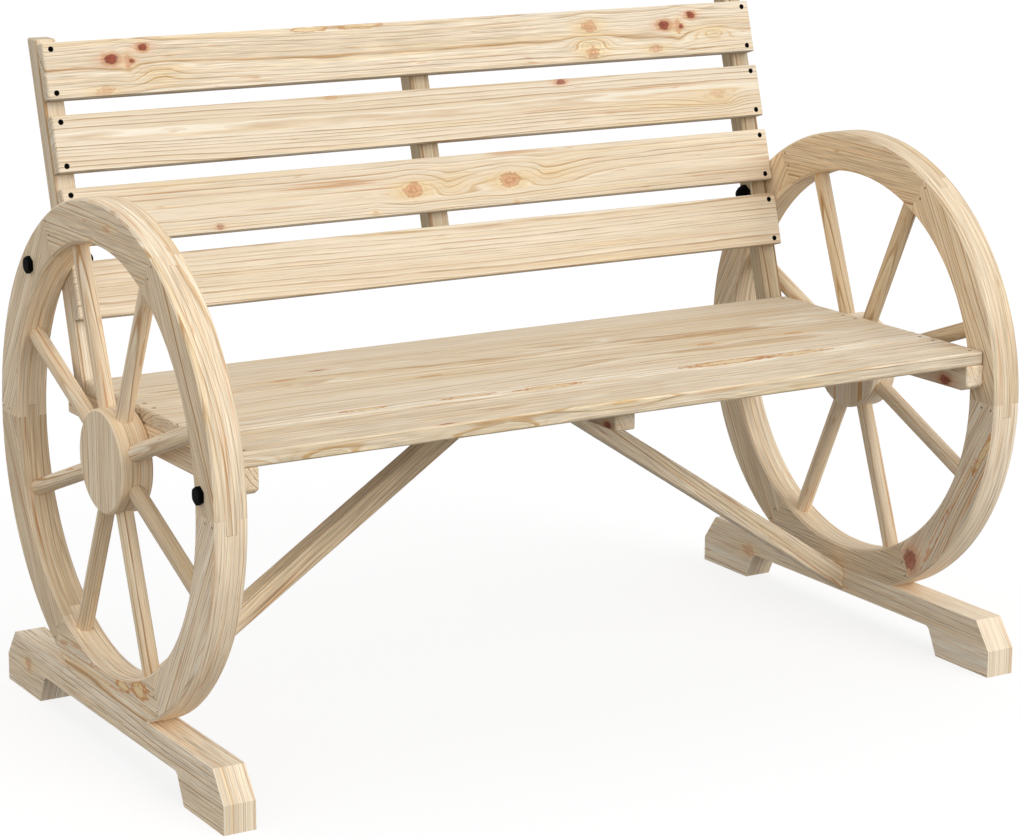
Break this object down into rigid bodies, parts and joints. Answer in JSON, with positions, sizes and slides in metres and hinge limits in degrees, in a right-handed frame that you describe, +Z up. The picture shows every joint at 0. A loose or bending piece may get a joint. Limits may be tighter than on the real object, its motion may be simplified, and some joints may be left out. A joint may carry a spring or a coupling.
{
  "type": "wagon wheel bench",
  "caption": "Garden bench with a plank seat and a reclined slatted back held between spoked wooden wheels that stand flat on arched skids.",
  "frame": {"origin": "floor level, midway between the two wheels and straight under the line through their hubs", "axes": "+X along the seat, to the right as seen from the front; +Y from the seat's front to its back; +Z up"},
  "size_m": [1.089, 0.603, 0.787],
  "materials": {
    "slat_wood": "planed, unvarnished softwood",
    "post_wood": "planed, unvarnished softwood",
    "seat_wood": "planed, unvarnished softwood",
    "rail_wood": "planed, unvarnished softwood",
    "brace_wood": "planed, unvarnished softwood",
    "skid_wood": "planed, unvarnished softwood",
    "felloe_wood": "planed, unvarnished softwood",
    "spoke_wood": "planed, unvarnished softwood",
    "hub_wood": "planed, unvarnished softwood",
    "bolt_black": "black, satin",
    "screw_black": "black, matt",
    "nail_steel": "dull dark steel"
  },
  "bodies": {
    "root": {"back_post_left": "post_wood", "back_post_middle": "post_wood", "back_post_right": "post_wood", "back_slat_1": "slat_wood", "back_slat_2": "slat_wood", "back_slat_3": "slat_wood", "back_slat_4": "slat_wood", "bearer_screws": "screw_black", "brace_left": "brace_wood", "brace_right": "brace_wood", "brace_screws": "screw_black", "felloe_left_1": "felloe_wood", "felloe_left_2": "felloe_wood", "felloe_left_3": "felloe_wood", "felloe_left_4": "felloe_wood", "felloe_left_5": "felloe_wood", "felloe_left_6": "felloe_wood", "felloe_right_1": "felloe_wood", "felloe_right_2": "felloe_wood", "felloe_right_3": "felloe_wood", "felloe_right_4": "felloe_wood", "felloe_right_5": "felloe_wood", "felloe_right_6": "felloe_wood", "middle_post_screws": "screw_black", "post_bolts": "bolt_black", "post_cap_nuts": "bolt_black", "post_foot_screws": "screw_black", "rail_bolts": "bolt_black", "rim_pins": "nail_steel", "seat_bearer": "rail_wood", "seat_board_back": "seat_wood", "seat_board_front": "seat_wood", "seat_board_middle": "seat_wood", "seat_nails": "nail_steel", "seat_rail_left": "rail_wood", "seat_rail_right": "rail_wood", "skid_left": "skid_wood", "skid_right": "skid_wood", "skid_screws": "screw_black", "slat_screws": "screw_black", "spoke_left_1": "spoke_wood", "spoke_left_2": "spoke_wood", "spoke_left_3": "spoke_wood", "spoke_left_4": "spoke_wood", "spoke_left_5": "spoke_wood", "spoke_left_6": "spoke_wood", "spoke_left_7": "spoke_wood", "spoke_left_8": "spoke_wood", "spoke_right_1": "spoke_wood", "spoke_right_2": "spoke_wood", "spoke_right_3": "spoke_wood", "spoke_right_4": "spoke_wood", "spoke_right_5": "spoke_wood", "spoke_right_6": "spoke_wood", "spoke_right_7": "spoke_wood", "spoke_right_8": "spoke_wood", "wheel_hub_left": "hub_wood", "wheel_hub_right": "hub_wood"}
  },
  "joints": []
}
